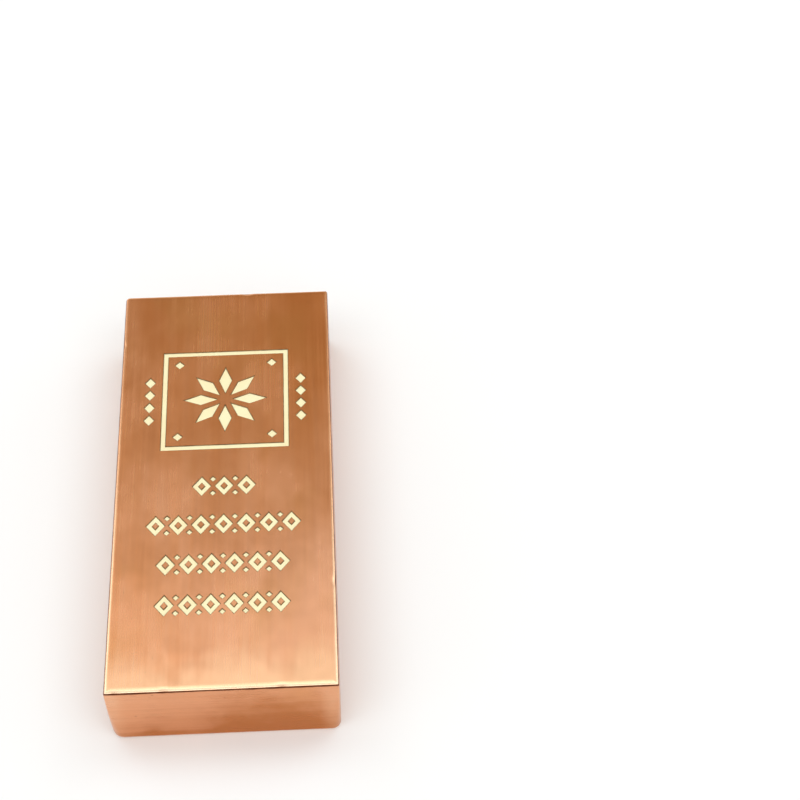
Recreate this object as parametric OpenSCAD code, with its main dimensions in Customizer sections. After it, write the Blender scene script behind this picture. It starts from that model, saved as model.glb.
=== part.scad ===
// Copper ingot: one solid bar cut from flat stock, with rounded edges and shallow marks
// engraved in its top face. It lies flat with its length along Y, and the origin is under the
// middle of its underside.

/* [Bar] */
// Width of the bar, along X
bar_width = 50.8; // [46:0.1:80]
// Length of the bar, along Y
bar_length = 116; // [80:0.5:200]
// Thickness of the bar as it lies, along Z
bar_thickness = 19.05; // [8:0.05:40]

/* [Edges] */
// Radius of the four upright corner edges
corner_radius = 0.8; // [0.5:0.1:4]
// Radius of the edge around the top face
top_edge_radius = 0.7; // [0.2:0.1:1.4]
// Radius of the edge around the underside
bottom_edge_radius = 0.8; // [0.2:0.1:1.4]

/* [Engraved frame] */
// Depth of every engraved mark below the top face
engrave_depth = 0.2; // [0.1:0.05:0.6]
// Outer side of the square frame
frame_side = 30.5; // [26:0.1:34]
// Width of the frame's line
frame_line = 1.2; // [0.5:0.1:2]
// Width of the small lozenge in each corner of the frame
corner_mark = 2.4; // [1:0.1:3]
// From the inside of the frame's line to the corner lozenges
corner_mark_gap = 1.6; // [0.5:0.1:2]

/* [Rosette] */
// Number of petals around the middle of the frame
petal_count = 8; // [4:1:9]
// Length of one petal, from point to point
petal_length = 8.2; // [5:0.1:9]
// Width of one petal at its middle
petal_width = 3.2; // [1.5:0.1:3.6]
// From the rosette's middle to the inner point of each petal
petal_start = 1.8; // [1.2:0.1:2.4]

/* [Side columns] */
// Number of lozenges in the column on each side of the frame
column_count = 4; // [1:1:6]
// Width of a column lozenge
column_mark_width = 2.6; // [1:0.1:3.2]
// Height of a column lozenge
column_mark_height = 3.2; // [1:0.1:3.8]
// Distance from one column lozenge to the next
column_pitch = 3.9; // [3.9:0.1:5]
// From the frame to the lozenges of a column
column_gap = 1.7; // [0.5:0.1:2]

/* [Rows] */
// Number of lozenges in each row below the frame, from the frame to the front
row_counts = [3, 7, 6, 6]; // [1:1:8]
// Distance from one row to the next, and from the frame to the first row
row_pitch = 11; // [8:0.1:12]
// Distance from one lozenge to the next in a row
mark_pitch = 5.2; // [5.1:0.1:6]
// Width of a row lozenge
mark_width = 4.4; // [3:0.1:5]
// Height of a row lozenge
mark_height = 5.6; // [4:0.1:6.4]
// Width of the line that a row lozenge is drawn with
mark_line = 1.1; // [0.4:0.05:1.3]
// Width of the small lozenges above and below the gaps of a row
notch_mark = 1.5; // [0.6:0.1:1.8]

/* [Hidden] */
$fn = 64;
// How far a cut reaches past the surface that it cuts
cut_over = 1;

// Lengths of the straight stretches between the rounded corners
straight_width = bar_width - 2 * corner_radius;
straight_length = bar_length - 2 * corner_radius;
// An edge can be no rounder than the corner that it runs into
top_radius = min(top_edge_radius, corner_radius);
bottom_radius = min(bottom_edge_radius, corner_radius);

// As many rows, and lozenges in a row, as the flat of the top face has room for
rows_that_fit = floor((straight_length - frame_side - mark_height / 2) / row_pitch);
row_total = min(len(row_counts), rows_that_fit);
marks_that_fit = floor((straight_width - mark_width) / mark_pitch) + 1;

// The frame and the rows are centred together on the length of the bar
layout_length = frame_side + row_total * row_pitch + mark_height / 2;
frame_y = (layout_length - frame_side) / 2;
first_row_y = frame_y - frame_side / 2 - row_pitch;
column_x = frame_side / 2 + column_gap + column_mark_width / 2;
corner_mark_at = frame_side / 2 - frame_line - corner_mark_gap - corner_mark / 2;

// What is left of a square corner when it is rounded, pointing to the lower left
module corner_waste(radius) {
    difference() {
        translate([-cut_over, -cut_over])
            square(radius + cut_over);
        translate([radius, radius])
            circle(r = radius);
    }
}

// Upright section of the bar, standing on the X axis, with its lower and upper corners rounded
module section(width) {
    difference() {
        translate([-width / 2, 0])
            square([width, bar_thickness]);
        for (side = [0, 1])
            mirror([side, 0]) {
                translate([-width / 2, 0])
                    corner_waste(bottom_radius);
                translate([-width / 2, bar_thickness])
                    mirror([0, 1])
                        corner_waste(top_radius);
            }
    }
}

// The plain bar: two crossing slabs and a turned post in each corner
module plain_bar() {
    rotate([90, 0, 0])
        linear_extrude(straight_length, center = true)
            section(bar_width);
    rotate([90, 0, 90])
        linear_extrude(straight_width, center = true)
            section(bar_length);
    for (x = [-1, 1], y = [-1, 1])
        translate([x * straight_width / 2, y * straight_length / 2, 0])
            rotate_extrude()
                intersection() {
                    section(2 * corner_radius);
                    square([corner_radius, bar_thickness]);
                }
}

module lozenge(width, height) {
    polygon([[width / 2, 0], [0, height / 2], [-width / 2, 0], [0, -height / 2]]);
}

// A lozenge drawn with a line of even width
module lozenge_line(width, height, line) {
    inner = 1 - 2 * line * norm([width, height]) / (width * height);
    difference() {
        lozenge(width, height);
        if (inner > 0)
            lozenge(width * inner, height * inner);
    }
}

// Square frame with a lozenge in each corner, around the middle of the frame
module frame_marks() {
    inside = frame_side - 2 * frame_line;
    difference() {
        square(frame_side, center = true);
        square(inside, center = true);
    }
    for (x = [-1, 1], y = [-1, 1])
        translate([x, y] * corner_mark_at)
            lozenge(corner_mark, corner_mark);
}

// Ring of petals with their points towards the middle
module rosette_marks() {
    for (i = [0 : petal_count - 1])
        rotate(i * 360 / petal_count)
            translate([0, petal_start + petal_length / 2])
                lozenge(petal_width, petal_length);
}

// One column of lozenges on each side of the frame
module column_marks() {
    for (side = [-1, 1], i = [0 : column_count - 1])
        translate([side * column_x, (i - (column_count - 1) / 2) * column_pitch])
            lozenge(column_mark_width, column_mark_height);
}

// One row of drawn lozenges, with small ones above and below the gaps between them
module row_marks(count) {
    for (i = [0 : count - 1])
        translate([(i - (count - 1) / 2) * mark_pitch, 0])
            lozenge_line(mark_width, mark_height, mark_line);
    if (count > 1)
        for (i = [0 : count - 2], side = [-1, 1])
            translate([(i - count / 2 + 1) * mark_pitch, side * (mark_height - notch_mark) / 2])
                lozenge(notch_mark, notch_mark);
}

// Everything that is engraved, drawn flat
module marks() {
    translate([0, frame_y]) {
        frame_marks();
        rosette_marks();
        column_marks();
    }
    for (i = [0 : row_total - 1])
        translate([0, first_row_y - i * row_pitch])
            row_marks(min(row_counts[i], marks_that_fit));
}

module ingot() {
    color([0.80, 0.50, 0.34])
        difference() {
            plain_bar();
            translate([0, 0, bar_thickness - engrave_depth])
                linear_extrude(engrave_depth + cut_over)
                    marks();
        }
}

ingot();
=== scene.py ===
from math import cos, pi, radians, sin, sqrt, tan

import bmesh
import bpy
from mathutils import Matrix, Vector, noise


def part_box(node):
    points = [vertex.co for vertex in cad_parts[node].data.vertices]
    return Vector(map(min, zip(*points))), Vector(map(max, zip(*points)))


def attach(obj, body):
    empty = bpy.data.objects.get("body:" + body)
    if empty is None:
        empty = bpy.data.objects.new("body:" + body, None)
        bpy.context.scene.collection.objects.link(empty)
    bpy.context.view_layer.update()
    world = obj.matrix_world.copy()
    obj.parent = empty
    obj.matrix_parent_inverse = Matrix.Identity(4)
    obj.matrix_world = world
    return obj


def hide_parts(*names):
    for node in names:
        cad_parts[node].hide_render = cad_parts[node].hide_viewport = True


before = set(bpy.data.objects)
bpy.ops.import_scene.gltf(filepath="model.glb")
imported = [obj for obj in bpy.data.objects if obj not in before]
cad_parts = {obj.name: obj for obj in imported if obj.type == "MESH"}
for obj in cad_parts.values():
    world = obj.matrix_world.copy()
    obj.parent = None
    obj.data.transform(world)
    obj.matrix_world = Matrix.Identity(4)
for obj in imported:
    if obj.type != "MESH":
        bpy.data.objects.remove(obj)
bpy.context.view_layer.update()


# The bar: solid copper, sawn from flat stock and finished by hand. Its faces are brushed, the top
# falls away a little before a tight arris all round, and its corners are rounder near the underside.
bar_low, bar_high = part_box("ingot")
bar_width, bar_length, bar_thickness = bar_high - bar_low
half_width = bar_width / 2
half_length = bar_length / 2
# Drawn in by a hair, so that rounding can't push a point out of the solid's box
hair = 0.00000001
# Radii of the upright corners, front right, back right, back left and front left
corner_top = (0.0003, 0.0006, 0.0010, 0.0004)
corner_low = (0.0020, 0.0016, 0.0016, 0.0026)
corner_least = 0.00012
bottom_edge_radius = 0.0010
# The top curves down to this slope at the arris, as a power of the way across the fall
fall_width = 0.0016
fall_slope = radians(11)
fall_power = 3
arris_radius = 0.0005
rim_step = 0.0008
corner_steps = 6
bottom_steps = 6
side_steps = 6
arris_steps = 9
fall_steps = 7
# Share by which the worn top edge wanders, and the length of its waves
unevenness = 0.10
unevenness_size = 0.009
# Small knocks on the arris: place along X and Y, reach along the edge, and depth
arris_knocks = [
    (-0.0123, -half_length, 0.0018, 0.00006),
    (0.0131, -half_length, 0.0020, 0.00006),
    (-0.0231, -half_length, 0.0012, 0.00006),
    (-half_width, 0.0415, 0.0012, 0.00007),
    (half_width, -0.0310, 0.0016, 0.00006),
    (0.0052, half_length, 0.0018, 0.00010),
]


def rounded_outline(inset, upward):
    """The bar's outline from above, drawn in by an inset, as pairs of place and outward direction.

    The corners have their lower radii where upward is 0 and their upper radii where it is 1.
    """
    signs = ((1, -1), (1, 1), (-1, 1), (-1, -1))
    corners = []
    for (x, y), low, high in zip(signs, corner_low, corner_top):
        radius = max(high + (1 - upward) ** 2 * (low - high) - inset, corner_least)
        reach = inset + radius + hair
        centre = Vector((x * (half_width - reach), y * (half_length - reach), 0))
        corners.append((centre, radius))
    points = []
    for i, (centre, radius) in enumerate(corners):
        for k in range(corner_steps + 1):
            angle = pi / 2 * (i - 1 + k / corner_steps)
            outward = Vector((cos(angle), sin(angle), 0))
            points.append((centre + radius * outward, outward))
        next_centre, next_radius = corners[(i + 1) % 4]
        start = points[-1][0]
        run = next_centre + next_radius * outward - start
        pieces = round((bar_width if i % 2 else bar_length) / rim_step)
        points += [(start + run * k / pieces, outward) for k in range(1, pieces)]
    return points


def bar_rings():
    """The rings that the bar is built from, upwards: inset, height, rise to the top, and share of wear."""
    rings = []
    for k in range(bottom_steps + 1):
        turn = pi / 2 * k / bottom_steps
        inset = bottom_edge_radius * (1 - sin(turn))
        rings.append((inset, bottom_edge_radius * (1 - cos(turn)), 0.0, 0.0))
    fall_run = fall_width - arris_radius * (1 - sin(fall_slope))
    fall_drop = tan(fall_slope) * fall_run / fall_power
    arris_height = bar_thickness - fall_drop - arris_radius * cos(fall_slope)
    for k in range(1, side_steps):
        share = k / side_steps
        height = bottom_edge_radius + share * (arris_height - bottom_edge_radius)
        rings.append((0.0, height, share, 0.0))
    for k in range(arris_steps + 1):
        share = k / arris_steps
        turn = pi / 2 + share * (fall_slope - pi / 2)
        inset = arris_radius * (1 - sin(turn))
        rings.append((inset, arris_height + arris_radius * cos(turn), 1.0, share))
    for k in range(1, fall_steps + 1):
        share = 1 - k / fall_steps
        inset = fall_width - fall_run * share
        rings.append((inset, bar_thickness - fall_drop * share ** fall_power, 1.0, share))
    return rings


def bar_mesh():
    """The bar before it is engraved, with its top edge uneven and knocked in places."""
    shape = bmesh.new()
    rows = []
    for inset, height, upward, wear in bar_rings():
        row = []
        for place, outward in rounded_outline(inset, upward):
            knock = 0.0
            for x, y, reach, depth in arris_knocks:
                away = (place - Vector((x, y, 0))).length / reach
                knock += depth * wear * max(0.0, 1 - away * away) ** 2
            ease = unevenness * noise.noise(place / unevenness_size)
            sunk = knock + wear * (bar_thickness - height) * ease
            drawn_in = knock + (inset * ease if height > bar_thickness / 2 else 0.0)
            lift = Vector((0, 0, min(height - sunk, bar_thickness)))
            row.append(shape.verts.new(place - outward * max(drawn_in, -inset) + lift))
        rows.append(row)
    for lower, upper in zip(rows, rows[1:]):
        for k in range(len(lower)):
            j = (k + 1) % len(lower)
            shape.faces.new((lower[k], lower[j], upper[j], upper[k]))
    shape.faces.new(reversed(rows[0]))
    shape.faces.new(rows[-1])
    mesh = bpy.data.meshes.new("ingot_bar")
    shape.to_mesh(mesh)
    shape.free()
    return mesh


def add(tree, kind, inputs=(), **settings):
    """Adds a node, sets its properties, and fills its sockets from values or from other nodes."""
    made = tree.nodes.new(kind)
    for name, value in settings.items():
        setattr(made, name, value)
    for name, value in dict(inputs).items():
        if isinstance(value, bpy.types.NodeSocket):
            tree.links.new(value, made.inputs[name])
        else:
            made.inputs[name].default_value = value
    return made


def calc(tree, operation, *terms):
    """The result of one sum on values or sockets."""
    return add(tree, "ShaderNodeMath", enumerate(terms), operation=operation).outputs[0]


def spread(tree, value, from_low, from_high, to_low=0.0, to_high=1.0):
    """A value taken softly from one range to another, and held at its ends."""
    ranges = {"From Min": from_low, "From Max": from_high, "To Min": to_low, "To Max": to_high}
    return add(tree, "ShaderNodeMapRange", {"Value": value, **ranges},
               interpolation_type="SMOOTHSTEP").outputs[0]


def mix_colour(tree, share, first, second):
    """The colour that lies this share of the way from the first to the second."""
    return add(tree, "ShaderNodeMix", {0: share, 6: first, 7: second}, data_type="RGBA").outputs[2]


def parts(tree, whole):
    """The X, Y and Z of a vector, as sockets by name."""
    return add(tree, "ShaderNodeSeparateXYZ", {0: whole}).outputs


def vector(tree, **along):
    """A vector made from its X, Y and Z, with 0 for what isn't given."""
    return add(tree, "ShaderNodeCombineXYZ", along).outputs[0]


def new_group(name, kind, inputs, outputs):
    """A node group, with the sockets that its inputs come from and those that its outputs go to."""
    tree = bpy.data.node_groups.new(name, kind)
    for direction, sockets in (("INPUT", inputs), ("OUTPUT", outputs)):
        for socket, what, value in sockets:
            made = tree.interface.new_socket(socket, in_out=direction, socket_type="NodeSocket" + what)
            if value is not None:
                made.default_value = value
    return tree, tree.nodes.new("NodeGroupInput").outputs, tree.nodes.new("NodeGroupOutput").inputs


def use_group(tree, group, **values):
    """Places a group in another tree with its own values, and gives its only output."""
    kind = "ShaderNodeGroup" if group.bl_idname == "ShaderNodeTree" else "GeometryNodeGroup"
    named = {name.replace("_", " ").title(): value for name, value in values.items()}
    return add(tree, kind, named, node_tree=group).outputs[0]


# Lines left by a brush or a belt. They run along the bar on its long faces and across it on its ends.
brushing, given, result = new_group(
    "brush_lines", "ShaderNodeTree",
    [("Spacing", "Float", None), ("Run", "Float", None), ("Detail", "Float", None)],
    [("Lines", "Float", None)])
end_facing = 0.7
coords = add(brushing, "ShaderNodeTexCoord").outputs
lengthways = calc(brushing, "ABSOLUTE", parts(brushing, coords["Normal"])["Y"])
on_end = calc(brushing, "GREATER_THAN", lengthways, end_facing)
fine = calc(brushing, "DIVIDE", 1.0, given["Spacing"])
coarse = calc(brushing, "DIVIDE", 1.0, given["Run"])
along_bar = vector(brushing, X=fine, Y=coarse, Z=fine)
across_bar = vector(brushing, X=coarse, Y=fine, Z=fine)
stretch = add(brushing, "ShaderNodeMix", {0: on_end, 4: along_bar, 5: across_bar}, data_type="VECTOR")
drawn_out = add(brushing, "ShaderNodeVectorMath", {0: coords["Object"], 1: stretch.outputs[1]},
                operation="MULTIPLY")
grain = add(brushing, "ShaderNodeTexNoise",
            {"Vector": drawn_out.outputs[0], "Scale": 1.0, "Detail": given["Detail"], "Roughness": 0.6})
brushing.links.new(grain.outputs["Fac"], result["Lines"])

# Patches where the metal has dulled unevenly, longer along the bar than across it.
clouding, given, result = new_group(
    "clouding", "ShaderNodeTree",
    [("Size", "Float", None), ("Stretch", "Float", None), ("Detail", "Float", None),
     ("Low", "Float", None), ("High", "Float", None)],
    [("Cloud", "Float", None)])
coords = add(clouding, "ShaderNodeTexCoord").outputs
longer = vector(clouding, X=1.0, Y=calc(clouding, "DIVIDE", 1.0, given["Stretch"]), Z=1.0)
drawn_out = add(clouding, "ShaderNodeVectorMath", {0: coords["Object"], 1: longer}, operation="MULTIPLY")
patches = add(clouding, "ShaderNodeTexNoise",
              {"Vector": drawn_out.outputs[0], "Scale": calc(clouding, "DIVIDE", 1.0, given["Size"]),
               "Detail": given["Detail"], "Roughness": 0.55, "Distortion": 0.1})
cloud = spread(clouding, patches.outputs["Fac"], given["Low"], given["High"])
clouding.links.new(cloud, result["Cloud"])


def new_material(name):
    """A material with only its shader and its output, which the caller joins up."""
    made = bpy.data.materials.new(name)
    made.use_nodes = True
    tree = made.node_tree
    tree.nodes.clear()
    shader = tree.nodes.new("ShaderNodeBsdfPrincipled")
    add(tree, "ShaderNodeOutputMaterial", {"Surface": shader.outputs[0]})
    return made, tree, shader


# Brushed copper: streaked along the brushing and clouded, with a few pits. The front of the top has a pale
# painted highlight, the upright faces are browned by tarnish and by painted shade towards the underside, the
# upright corners and the arris carry painted highlights, and a painted dark reflection runs in a line under
# the arris.
copper, tree, shader = new_material("brushed_copper")
copper_deep = (0.77, 0.312, 0.118, 1)
copper_light = (0.90, 0.460, 0.270, 1)
copper_olive = (0.72, 0.350, 0.125, 1)
# A painted highlight colour, for the pale front of the top
copper_front_highlight = (0.97, 0.57, 0.335, 1)
# A painted highlight colour, for the arris and the upright corners
copper_highlight = (1.0, 0.68, 0.45, 1)
# Tarnish brown, which also serves as painted shade low on the upright faces
copper_tarnish_and_shade = (0.52, 0.170, 0.036, 1)
# A painted dark reflection colour, for the line under the arris
copper_dark_reflection = (0.12, 0.028, 0.009, 1)
pit_dark = (0.22, 0.085, 0.035, 1)
coords = add(tree, "ShaderNodeTexCoord").outputs
where = parts(tree, coords["Object"])
level_from, level_to = 0.3, 0.7
level = spread(tree, calc(tree, "ABSOLUTE", parts(tree, coords["Normal"])["Z"]), level_from, level_to)
upright = calc(tree, "SUBTRACT", 1.0, level)
# The part of its range that a noise mostly keeps to
noise_span = (0.3, 0.7)

# The tone goes from deep to light. On the top it is deepest at the back and lightest at the front, and the
# right side is the lighter one at the front and the darker one at the back. This is a painted reflection of
# the dim wall behind and the bright panel overhead.
middle_tone = 0.655
cloud_tone = 0.35
streak_tone = 0.12
streaks_upright = 0.35
reflection_tone_back, reflection_tone_front = -0.60, 0.02
reflection_tone_run = (0.045, -0.052)
front_reflection_lean = 18.0
front_reflection_lean_run = (0.0, -0.045)
back_reflection_lean = -10.0
back_reflection_lean_run = (0.015, 0.045)
clouds = use_group(tree, clouding, size=0.014, stretch=1.8, detail=4.0, low=0.3, high=0.7)
streaks = use_group(tree, brushing, spacing=0.0022, run=0.045, detail=3.0)
tone = calc(tree, "MULTIPLY_ADD", clouds, cloud_tone, middle_tone)
painted_reflection_tone = spread(tree, where["Y"], *reflection_tone_run, reflection_tone_back, reflection_tone_front)
tone = calc(tree, "MULTIPLY_ADD", painted_reflection_tone, level, tone)
streaked = spread(tree, streaks, *noise_span, -streak_tone, streak_tone)
tone = calc(tree, "MULTIPLY_ADD", streaked, spread(tree, level, 0.0, 1.0, streaks_upright, 1.0), tone)
reflection_lean = calc(tree, "ADD", spread(tree, where["Y"], *front_reflection_lean_run, 0.0, front_reflection_lean),
            spread(tree, where["Y"], *back_reflection_lean_run, 0.0, back_reflection_lean))
tone = calc(tree, "MULTIPLY_ADD", where["X"], calc(tree, "MULTIPLY", reflection_lean, level), tone)
colour = mix_colour(tree, tone, copper_deep, copper_light)

# Olive patches, dark hairlines and pits, with more pits on the upright faces
olive_share = 0.4
hairline_share = 0.14
pit_share = 0.8
olive = use_group(tree, clouding, size=0.021, stretch=1.4, detail=3.0, low=0.5, high=0.75)
colour = mix_colour(tree, calc(tree, "MULTIPLY", olive, olive_share), colour, copper_olive)
hairlines = use_group(tree, brushing, spacing=0.0005, run=0.050, detail=3.0)
colour = mix_colour(tree, spread(tree, hairlines, *noise_span, 0.0, hairline_share), colour, copper_deep)
pits = use_group(tree, clouding, size=0.0007, stretch=1.0, detail=1.0, low=0.79, high=0.85)
specks = use_group(tree, clouding, size=0.0008, stretch=1.0, detail=1.0, low=0.76, high=0.81)
pits = calc(tree, "MAXIMUM", pits, calc(tree, "MULTIPLY", specks, upright))
colour = mix_colour(tree, calc(tree, "MULTIPLY", pits, pit_share), colour, pit_dark)

# The painted highlight on the front of the top, where it mirrors the bright panel. Its back edge slants
# across the bar and wanders with the streaks and clouds.
highlight_slant = -0.09
highlight_streak_wander = 0.0018
highlight_streak_span = (0.25, 0.75)
highlight_cloud_wander = 0.0026
highlight_run = (-0.046, -0.057)
highlight_share = 0.9
highlight_line = calc(tree, "MULTIPLY_ADD", where["X"], highlight_slant, where["Y"])
highlight_wander = calc(tree, "ADD", spread(tree, streaks, *highlight_streak_span, highlight_streak_wander, -highlight_streak_wander),
                  spread(tree, clouds, 0.0, 1.0, highlight_cloud_wander, -highlight_cloud_wander))
highlight_line = calc(tree, "ADD", highlight_line, highlight_wander)
front_highlight = calc(tree, "MULTIPLY", spread(tree, highlight_line, *highlight_run, 0.0, highlight_share), level)
colour = mix_colour(tree, front_highlight, colour, copper_front_highlight)

# The upright faces are browned more towards the right and the underside, but less at the right corners, with
# a darker band low down.
# The clouds and smears are tarnish. The darkening towards the underside and the low band are painted shade:
# the floor's contact shadow as the faces mirror it. Fine scratches brown them further.
brown_left, brown_right = -0.48, 0.17
brown_run = (-0.022, 0.018)
brown_corner = -0.42
brown_corner_run = (0.0155, 0.0245)
shade_upwards = -66.0
low_shade_band = 0.30
low_shade_band_run = (0.0045, 0.0025)
low_shade_band_wander = 0.0012
brown_cloud = 0.75
brown_smear = (-0.12, 0.10)
brown_span = (-1.05, 0.35)
brown_share = (0.2, 0.9)
scratch_span = (0.35, 0.65)
scratch_share = 0.12
tarnish_and_shade = calc(tree, "ADD", spread(tree, where["X"], *brown_run, brown_left, brown_right),
               spread(tree, where["X"], *brown_corner_run, 0.0, brown_corner))
tarnish_and_shade = calc(tree, "MULTIPLY_ADD", where["Z"], shade_upwards, tarnish_and_shade)
shade_band_line = calc(tree, "ADD", where["Z"], spread(tree, clouds, 0.0, 1.0, low_shade_band_wander, -low_shade_band_wander))
tarnish_and_shade = calc(tree, "ADD", tarnish_and_shade, spread(tree, shade_band_line, *low_shade_band_run, 0.0, low_shade_band))
tarnish_and_shade = calc(tree, "MULTIPLY_ADD", clouds, brown_cloud, tarnish_and_shade)
smears = use_group(tree, brushing, spacing=0.0012, run=0.030, detail=4.0)
tarnish_and_shade = calc(tree, "ADD", tarnish_and_shade, spread(tree, smears, *noise_span, *brown_smear))
tarnish_and_shade = calc(tree, "MULTIPLY", spread(tree, tarnish_and_shade, *brown_span, *brown_share), upright)
colour = mix_colour(tree, tarnish_and_shade, colour, copper_tarnish_and_shade)
scratches = use_group(tree, brushing, spacing=0.00016, run=0.060, detail=2.0)
scratched = calc(tree, "MULTIPLY", spread(tree, scratches, *scratch_span, 0.0, scratch_share), upright)
colour = mix_colour(tree, scratched, colour, copper_tarnish_and_shade)

# The upright corners get a painted highlight in patches, where their rounding catches the light
corner_reach = half_width + half_length
corner_highlight_run = (corner_reach - 0.0048, corner_reach - 0.0012)
corner_highlight_share = 0.22
corner_highlight_least = 0.3
corner_highlight_span = (0.2, 0.8)
out_to_corner = calc(tree, "ADD", calc(tree, "ABSOLUTE", where["X"]), calc(tree, "ABSOLUTE", where["Y"]))
corner_highlight = spread(tree, out_to_corner, *corner_highlight_run, 0.0, corner_highlight_share)
corner_highlight = calc(tree, "MULTIPLY", corner_highlight, spread(tree, clouds, *corner_highlight_span, corner_highlight_least, 1.0))
colour = mix_colour(tree, calc(tree, "MULTIPLY", corner_highlight, upright), colour, copper_highlight)

# The arris carries a painted highlight, most of all at the front. Below it runs a painted dark reflection, in
# a line of uneven width.
# Both are placed by depth below the top face.
arris_highlight_start = (0.000008, 0.00007)
arris_highlight_end = (0.00016, 0.00024)
arris_highlight_front, arris_highlight_back = 0.95, 0.35
arris_highlight_run = (-half_length, 0.030)
dark_line_start = (0.000155, 0.00024)
dark_line_end = (0.00042, 0.00076)
dark_line_start_wander = (1.10, 0.90)
dark_line_end_wander = (0.85, 1.15)
dark_line_share = 0.95
below_top = calc(tree, "SUBTRACT", bar_thickness, where["Z"])
arris_highlight = calc(tree, "MULTIPLY", spread(tree, below_top, *arris_highlight_start),
                spread(tree, below_top, *arris_highlight_end, 1.0, 0.0))
arris_highlight = calc(tree, "MULTIPLY", arris_highlight, spread(tree, where["Y"], *arris_highlight_run, arris_highlight_front, arris_highlight_back))
colour = mix_colour(tree, arris_highlight, colour, copper_highlight)
# The painted dark reflection of dim surroundings on the steep part of the arris
dark_line_run = use_group(tree, clouding, size=0.0045, stretch=1.0, detail=3.0, low=0.25, high=0.75)
from_start = calc(tree, "MULTIPLY", below_top, spread(tree, dark_line_run, 0.0, 1.0, *dark_line_start_wander))
to_end = calc(tree, "MULTIPLY", below_top, spread(tree, dark_line_run, 0.0, 1.0, *dark_line_end_wander))
painted_dark_line = calc(tree, "MULTIPLY", spread(tree, from_start, *dark_line_start),
            spread(tree, to_end, *dark_line_end, 1.0, 0.0))
colour = mix_colour(tree, calc(tree, "MULTIPLY", painted_dark_line, dark_line_share), colour, copper_dark_reflection)

# Gloss and relief: fine grooves over a slow swell that the brushing left in the faces
hairline_dullness = (0.21, 0.27)
hairline_span = (0.2, 0.8)
cloud_dullness = (-0.02, 0.03)
smear_dullness = (-0.03, 0.02)
swell_height = 0.00007
groove_height = 0.0000012
pit_depth = -3.0
dullness = calc(tree, "ADD", spread(tree, hairlines, *hairline_span, *hairline_dullness),
                spread(tree, clouds, 0.0, 1.0, *cloud_dullness))
smeared = spread(tree, smears, *noise_span, *smear_dullness)
dullness = calc(tree, "MULTIPLY_ADD", smeared, upright, dullness)
swell = use_group(tree, clouding, size=0.011, stretch=1.5, detail=2.0, low=0.0, high=1.0)
wavy = add(tree, "ShaderNodeBump", {"Strength": 1.0, "Distance": swell_height, "Height": swell})
grooves = calc(tree, "MULTIPLY_ADD", pits, pit_depth, hairlines)
grooved = add(tree, "ShaderNodeBump",
              {"Strength": 1.0, "Distance": groove_height, "Height": grooves, "Normal": wavy.outputs[0]})
tree.links.new(colour, shader.inputs["Base Color"])
tree.links.new(dullness, shader.inputs["Roughness"])
tree.links.new(grooved.outputs[0], shader.inputs["Normal"])
shader.inputs["Metallic"].default_value = 1.0


# The marks: a square frame, a rosette and rows of lozenges, cut 0.2 mm into the top face with a
# tapered tool. Their floors are frosted, in a pale gold that is partly a painted highlight, and their sloping
# walls are scorched and darkened with painted shade.
mark_depth = 0.0002
wall_flare = 0.00018
frame_side = 0.0305
frame_line = 0.0012
corner_mark = 0.0024
corner_mark_gap = 0.0016
petal_count = 8
petal_length = 0.0082
petal_width = 0.0032
petal_start = 0.0018
column_count = 4
column_mark_width = 0.0026
column_mark_height = 0.0032
column_pitch = 0.0039
column_gap = 0.0017
row_counts = (3, 7, 6, 6)
row_pitch = 0.011
mark_pitch = 0.0052
mark_width = 0.0044
mark_height = 0.0056
mark_line = 0.0011
notch_mark = 0.0015

layout_length = frame_side + len(row_counts) * row_pitch + mark_height / 2
frame_y = (layout_length - frame_side) / 2
first_row_y = frame_y - frame_side / 2 - row_pitch
corner_spread = frame_side - 2 * (frame_line + corner_mark_gap) - corner_mark
column_spread = frame_side + 2 * column_gap + column_mark_width

# The floors of the marks: etched, frosted all over and dulled in patches, their pale gold partly a painted
# highlight of the bright light overhead
etched, tree, shader = new_material("etched_floor")
etched_highlight_pale = (1.0, 0.95, 0.62, 1)
etched_highlight_gold = (1.0, 0.89, 0.55, 1)
etched_frosted = (0.90, 0.76, 0.45, 1)
frost_share = 0.25
frost_span = (0.2, 0.8)
frost_dullness = (0.5, 0.7)
frost_height = 0.00001
frost = use_group(tree, brushing, spacing=0.00012, run=0.0005, detail=3.0)
dulled = use_group(tree, clouding, size=0.007, stretch=1.0, detail=3.0, low=0.35, high=0.75)
colour = mix_colour(tree, dulled, etched_highlight_pale, etched_highlight_gold)
colour = mix_colour(tree, spread(tree, frost, *noise_span, 0.0, frost_share), colour, etched_frosted)
pitted = add(tree, "ShaderNodeBump", {"Strength": 0.6, "Distance": frost_height, "Height": frost})
tree.links.new(colour, shader.inputs["Base Color"])
tree.links.new(spread(tree, frost, *frost_span, *frost_dullness), shader.inputs["Roughness"])
tree.links.new(pitted.outputs[0], shader.inputs["Normal"])
shader.inputs["Metallic"].default_value = 0.35

# The walls of the marks: scorched brown by the cutting, and made darker still as painted shade in the
# recesses
scorched_and_shaded, tree, shader = new_material("scorched_shaded_wall")
scorch_and_shade_dark = (0.17, 0.085, 0.025, 1)
scorch_and_shade_light = (0.34, 0.19, 0.07, 1)
scorch_dullness = (0.45, 0.6)
scorch = use_group(tree, clouding, size=0.002, stretch=1.0, detail=3.0, low=0.3, high=0.7)
tree.links.new(mix_colour(tree, scorch, scorch_and_shade_dark, scorch_and_shade_light), shader.inputs["Base Color"])
tree.links.new(spread(tree, scorch, 0.0, 1.0, *scorch_dullness), shader.inputs["Roughness"])
shader.inputs["Metallic"].default_value = 0.5

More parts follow.
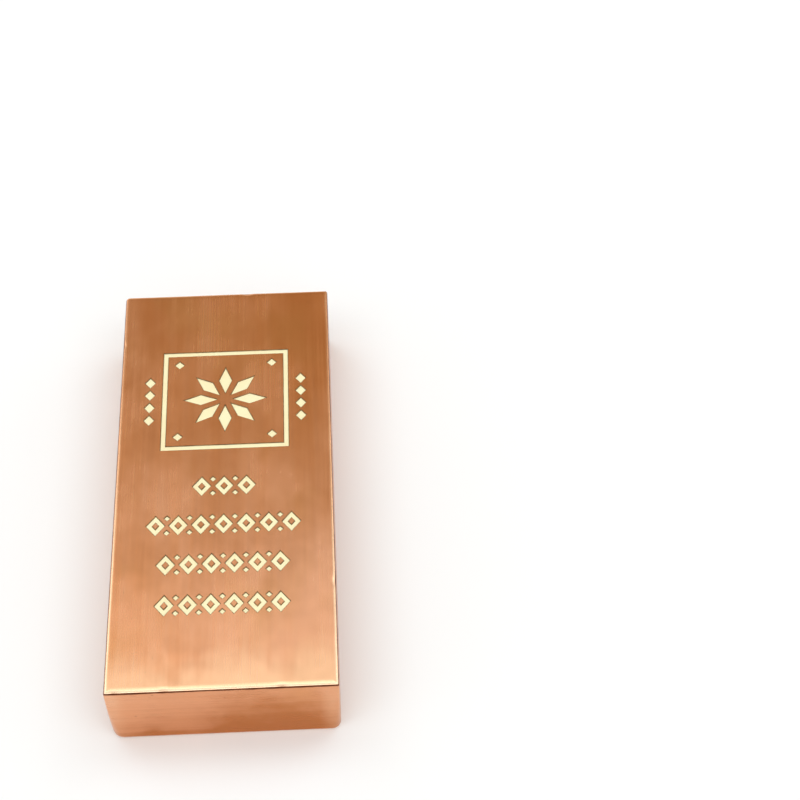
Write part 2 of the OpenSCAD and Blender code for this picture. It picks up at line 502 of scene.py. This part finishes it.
# One kind of lozenge, set around a circle, and that circle set out across and along the bar.
lozenges, given, result = new_group(
    "lozenge_marks", "GeometryNodeTree",
    [("Width", "Float", None), ("Height", "Float", None), ("Line", "Float", None), ("Turn", "Float", None),
     ("Around", "Int", 1), ("Radius", "Float", None),
     ("Across", "Int", 1), ("Across Pitch", "Float", None),
     ("Along", "Int", 1), ("Along Pitch", "Float", None),
     ("Centre", "Vector", None), ("Depth", "Float", None), ("Flare", "Float", None)],
    [("Geometry", "Geometry", None)])
squares = calc(lozenges, "MULTIPLY", given["Width"], given["Width"])
squares = calc(lozenges, "MULTIPLY_ADD", given["Height"], given["Height"], squares)
diagonal = calc(lozenges, "SQRT", squares)
half_across = calc(lozenges, "DIVIDE", calc(lozenges, "MULTIPLY", given["Width"], given["Height"]),
                   calc(lozenges, "MULTIPLY", diagonal, 2.0))
flare_share = calc(lozenges, "DIVIDE", given["Flare"], half_across)
island_share = calc(lozenges, "SUBTRACT", 1.0, calc(lozenges, "DIVIDE", given["Line"], half_across))
half_size = vector(lozenges, X=calc(lozenges, "MULTIPLY", given["Width"], 0.5),
                   Y=calc(lozenges, "MULTIPLY", given["Height"], 0.5), Z=1.0)


def taper(share, way, reach):
    """A four-sided plug of a share of the named size, which it has at half the depth of the mark.

    It widens upwards where way is 1 and narrows where it is -1. Its ends lie as many depths below and
    above the top face as reach says.
    """
    foot = calc(lozenges, "MULTIPLY_ADD", flare_share, way * (0.5 - reach), share)
    head = calc(lozenges, "MULTIPLY_ADD", flare_share, way * (0.5 + reach), share)
    plug = add(lozenges, "GeometryNodeMeshCone",
               {"Vertices": 4, "Radius Bottom": foot, "Radius Top": head,
                "Depth": calc(lozenges, "MULTIPLY", given["Depth"], 2.0 * reach)}, fill_type="NGON")
    drop = vector(lozenges, Z=calc(lozenges, "MULTIPLY", given["Depth"], -reach))
    return add(lozenges, "GeometryNodeTransform",
               {"Geometry": plug.outputs["Mesh"], "Translation": drop, "Scale": half_size}).outputs[0]


mark_reach = 1.0
island_reach = 1.25
solid_mark = taper(1.0, 1.0, mark_reach)
drawn_mark = add(lozenges, "GeometryNodeMeshBoolean",
                 {"Mesh 1": solid_mark, "Mesh 2": taper(island_share, -1.0, island_reach)},
                 operation="DIFFERENCE", solver="EXACT")
mark = add(lozenges, "GeometryNodeSwitch",
           {"Switch": calc(lozenges, "GREATER_THAN", given["Line"], 0.0), "False": solid_mark,
            "True": drawn_mark.outputs["Mesh"]}, input_type="GEOMETRY")
mark = add(lozenges, "GeometryNodeTransform",
           {"Geometry": mark.outputs[0], "Translation": vector(lozenges, Y=given["Radius"]),
            "Rotation": vector(lozenges, Z=given["Turn"])})
spoke_turn = calc(lozenges, "MULTIPLY", add(lozenges, "GeometryNodeInputIndex").outputs[0],
                  calc(lozenges, "DIVIDE", 2 * pi, given["Around"]))
spokes = add(lozenges, "GeometryNodePoints", {"Count": given["Around"]})
field = add(lozenges, "GeometryNodeInstanceOnPoints",
            {"Points": spokes.outputs[0], "Instance": mark.outputs[0],
             "Rotation": vector(lozenges, Z=spoke_turn)})
for axis, way in (("X", "Across"), ("Y", "Along")):
    count = given[way]
    pitch = given[way + " Pitch"]
    run = calc(lozenges, "MULTIPLY", calc(lozenges, "SUBTRACT", count, 1.0), pitch)
    start = vector(lozenges, **{axis: calc(lozenges, "MULTIPLY", run, -0.5)})
    line = add(lozenges, "GeometryNodeMeshLine",
               {"Count": count, "Start Location": start, "Offset": vector(lozenges, **{axis: pitch})})
    field = add(lozenges, "GeometryNodeInstanceOnPoints",
                {"Points": line.outputs[0], "Instance": field.outputs[0]})
field = add(lozenges, "GeometryNodeTransform",
            {"Geometry": field.outputs[0], "Translation": given["Centre"]})
lozenges.links.new(field.outputs[0], result["Geometry"])

# Every group of marks, with its middle in the plane of the top face
frame_middle = (0, frame_y, bar_thickness)
mark_groups = [
    dict(width=frame_side * sqrt(2), height=frame_side * sqrt(2), line=frame_line, turn=radians(45),
         centre=frame_middle),
    dict(width=corner_mark, height=corner_mark, across=2, across_pitch=corner_spread,
         along=2, along_pitch=corner_spread, centre=frame_middle),
    dict(width=petal_width, height=petal_length, around=petal_count,
         radius=petal_start + petal_length / 2, centre=frame_middle),
    dict(width=column_mark_width, height=column_mark_height, across=2, across_pitch=column_spread,
         along=column_count, along_pitch=column_pitch, centre=frame_middle),
]
for i, count in enumerate(row_counts):
    row_middle = (0, first_row_y - i * row_pitch, bar_thickness)
    mark_groups += [
        dict(width=mark_width, height=mark_height, line=mark_line, across=count, across_pitch=mark_pitch,
             centre=row_middle),
        dict(width=notch_mark, height=notch_mark, across=count - 1, across_pitch=mark_pitch,
             along=2, along_pitch=mark_height - notch_mark, centre=row_middle),
    ]

# The tool that cuts them all, with one finish for level faces and one for sloping ones
engraving, given, result = new_group(
    "engraving", "GeometryNodeTree",
    [("Geometry", "Geometry", None), ("Depth", "Float", None), ("Flare", "Float", None)],
    [("Geometry", "Geometry", None)])
floor_facing = 0.95
joined = engraving.nodes.new("GeometryNodeJoinGeometry")
for values in mark_groups:
    placed = use_group(engraving, lozenges, depth=given["Depth"], flare=given["Flare"], **values)
    engraving.links.new(placed, joined.inputs[0])
whole = add(engraving, "GeometryNodeRealizeInstances", {0: joined.outputs[0]})
facing = parts(engraving, add(engraving, "GeometryNodeInputNormal").outputs[0])
sloping = calc(engraving, "LESS_THAN", calc(engraving, "ABSOLUTE", facing["Z"]), floor_facing)
floors = add(engraving, "GeometryNodeSetMaterial", {"Geometry": whole.outputs[0], "Material": etched})
walls = add(engraving, "GeometryNodeSetMaterial",
            {"Geometry": floors.outputs[0], "Selection": sloping, "Material": scorched_and_shaded})
engraving.links.new(walls.outputs[0], result["Geometry"])


def settled(piece):
    """The piece's mesh with its modifiers worked out, as a plain mesh."""
    bpy.context.view_layer.update()
    return bpy.data.meshes.new_from_object(piece.evaluated_get(bpy.context.evaluated_depsgraph_get()))


tool = bpy.data.objects.new("engraving_tool", bpy.data.meshes.new("engraving_tool"))
bpy.context.scene.collection.objects.link(tool)
cutting = tool.modifiers.new("engraving", "NODES")
cutting.node_group = engraving
sockets = {s.name: s.identifier for s in engraving.interface.items_tree if s.in_out == "INPUT"}
cutting[sockets["Depth"]] = mark_depth
cutting[sockets["Flare"]] = wall_flare
tool_mesh = settled(tool)
tool.modifiers.clear()
tool.data = tool_mesh

bar = bpy.data.objects.new("ingot_bar", bar_mesh())
bpy.context.scene.collection.objects.link(bar)
bar.data.materials.append(copper)
engrave = bar.modifiers.new("engrave", "BOOLEAN")
engrave.operation = "DIFFERENCE"
engrave.solver = "EXACT"
engrave.material_mode = "TRANSFER"
engrave.object = tool
engraved = settled(bar)
bar.modifiers.clear()
bar.data = engraved
bpy.data.objects.remove(tool)

# Smooth over the rounded edges, sharp around the marks, and flat on the large faces
sharp_from = radians(28)
engraved.shade_smooth()
engraved.set_sharp_from_angle(angle=sharp_from)
even = bar.modifiers.new("even", "WEIGHTED_NORMAL")
even.keep_sharp = True
smoothed = settled(bar)
bar.modifiers.clear()
bar.data = smoothed

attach(bar, "root")
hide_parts("ingot")


# The floor: a wide sheet of matt white board that the bar lies on. It shows only from above, and it is
# open under the bar, so that the underside is lit when it is looked at from below.
floor_half = 4.0
floor_drop = -0.00002
hole_inset = 0.0012
board_white = (0.96, 0.96, 0.96, 1)
hole_half_width = half_width - hole_inset
hole_half_length = half_length - hole_inset
floor_corners = ((-1, -1), (1, -1), (1, 1), (-1, 1))
rim = [(x * floor_half, y * floor_half, floor_drop) for x, y in floor_corners]
hole = [(x * hole_half_width, y * hole_half_length, floor_drop) for x, y in floor_corners]
floor_mesh = bpy.data.meshes.new("floor")
floor_mesh.from_pydata(rim + hole, [], [(k, (k + 1) % 4, (k + 1) % 4 + 4, k + 4) for k in range(4)])
floor = bpy.data.objects.new("floor", floor_mesh)
bpy.context.scene.collection.objects.link(floor)
board, tree, shader = new_material("white_board")
shader.inputs["Base Color"].default_value = board_white
shader.inputs["Roughness"].default_value = 0.9
shader.inputs["Specular IOR Level"].default_value = 0.0
clear = add(tree, "ShaderNodeBsdfTransparent").outputs[0]
underneath = add(tree, "ShaderNodeNewGeometry").outputs["Backfacing"]
one_sided = add(tree, "ShaderNodeMixShader", {0: underneath, 1: shader.outputs[0], 2: clear})
tree.links.new(one_sided.outputs[0], tree.nodes["Material Output"].inputs["Surface"])
floor_mesh.materials.append(board)


# The light: two soft panels overhead with a gap between them, the back one reaching further back at
# its sides, a dim warm wall behind, grey surroundings, and soft windows low down all round. The
# background is white to the camera, and so is the horizon that the metal mirrors.
panel_light = (1.85, 1.93, 1.96, 1)
panel_front = (2.05, 2.12, 2.15, 1)
panel_gap = (0.50, 0.49, 0.48, 1)
wall_near = (0.50, 0.45, 0.38, 1)
wall_far = (0.40, 0.290, 0.145, 1)
surroundings = (0.58, 0.55, 0.52, 1)
window_light = (1.22, 1.20, 1.18, 1)
between_windows = (0.50, 0.48, 0.46, 1)
background_white = (1, 1, 1, 1)
# Places on the panels and the wall, as distance sideways or backwards for each unit of height
least_rise = 0.02
wall_fade = (0.65, 1.0)
wall_half_width = (0.55, 0.9)
panel_half_width = (0.85, 1.10)
panel_front_end = (-0.95, -0.70)
panel_back_middle, panel_back_sides = 0.588, 0.95
panel_back_bend = (0.25, 0.6)
panel_back_soft = 0.08
gap_front = (-0.28, -0.08)
gap_back = (0.06, 0.30)
# Places as parts of the direction itself
wall_start = (0.1, 0.35)
window_count = 4
window_edges = (-0.8, 0.9)
window_top = (0.20, 0.65)
horizon_top = (0.04, 0.20)
world = bpy.data.worlds.new("studio")
bpy.context.scene.world = world
world.use_nodes = True
sky = world.node_tree
sky.nodes.clear()
axes = parts(sky, add(sky, "ShaderNodeTexCoord").outputs["Generated"])
rise = calc(sky, "MAXIMUM", axes["Z"], least_rise)
sideways = calc(sky, "DIVIDE", calc(sky, "ABSOLUTE", axes["X"]), rise)
backways = calc(sky, "DIVIDE", axes["Y"], rise)
wall = mix_colour(sky, spread(sky, backways, *wall_fade), wall_near, wall_far)
in_wall = calc(sky, "MULTIPLY", spread(sky, axes["Y"], *wall_start),
               spread(sky, sideways, *wall_half_width, 1.0, 0.0))
light = mix_colour(sky, in_wall, surroundings, wall)
bearing = calc(sky, "ARCTAN2", axes["Y"], axes["X"])
in_window = spread(sky, calc(sky, "SINE", calc(sky, "MULTIPLY", bearing, window_count)), *window_edges)
low_light = mix_colour(sky, in_window, between_windows, window_light)
light = mix_colour(sky, spread(sky, axes["Z"], *window_top, 1.0, 0.0), light, low_light)
panel_back = spread(sky, sideways, *panel_back_bend, panel_back_middle, panel_back_sides)
past_back = calc(sky, "SUBTRACT", backways, panel_back)
in_panel = calc(sky, "MULTIPLY", spread(sky, past_back, -panel_back_soft, panel_back_soft, 1.0, 0.0),
                spread(sky, backways, *panel_front_end))
in_panel = calc(sky, "MULTIPLY", in_panel, spread(sky, sideways, *panel_half_width, 1.0, 0.0))
panel = mix_colour(sky, spread(sky, backways, *gap_front), panel_front, panel_gap)
panel = mix_colour(sky, spread(sky, backways, *gap_back), panel, panel_light)
light = mix_colour(sky, in_panel, light, panel)
ray = add(sky, "ShaderNodeLightPath").outputs
mirrored = calc(sky, "MAXIMUM", ray["Is Glossy Ray"], ray["Is Transmission Ray"])
mirrored = calc(sky, "MULTIPLY", mirrored, spread(sky, axes["Z"], *horizon_top, 1.0, 0.0))
seen = calc(sky, "MAXIMUM", ray["Is Camera Ray"], mirrored)
light = mix_colour(sky, seen, light, background_white)
shining = add(sky, "ShaderNodeBackground", {"Color": light})
add(sky, "ShaderNodeOutputWorld", {"Surface": shining.outputs[0]})


# The camera: at the photograph's angle, in front of the bar and well above it, a little to its right,
# looking down along it. Its lens and sensor are in millimetres.
camera_place = Vector((0.02957, -0.27843, 0.37956))
camera_tilt = radians(39.73)
camera_heading = radians(2.41)
camera_roll = radians(-0.32)
camera_data = bpy.data.cameras.new("camera")
camera_data.sensor_width = 36
camera_data.lens = 87.33
camera = bpy.data.objects.new("camera", camera_data)
bpy.context.scene.collection.objects.link(camera)
camera.matrix_world = (Matrix.Translation(camera_place) @ Matrix.Rotation(-camera_heading, 4, "Z")
                       @ Matrix.Rotation(camera_tilt, 4, "X") @ Matrix.Rotation(camera_roll, 4, "Z"))
bpy.context.scene.camera = camera
bpy.context.scene.view_settings.view_transform = "Standard"
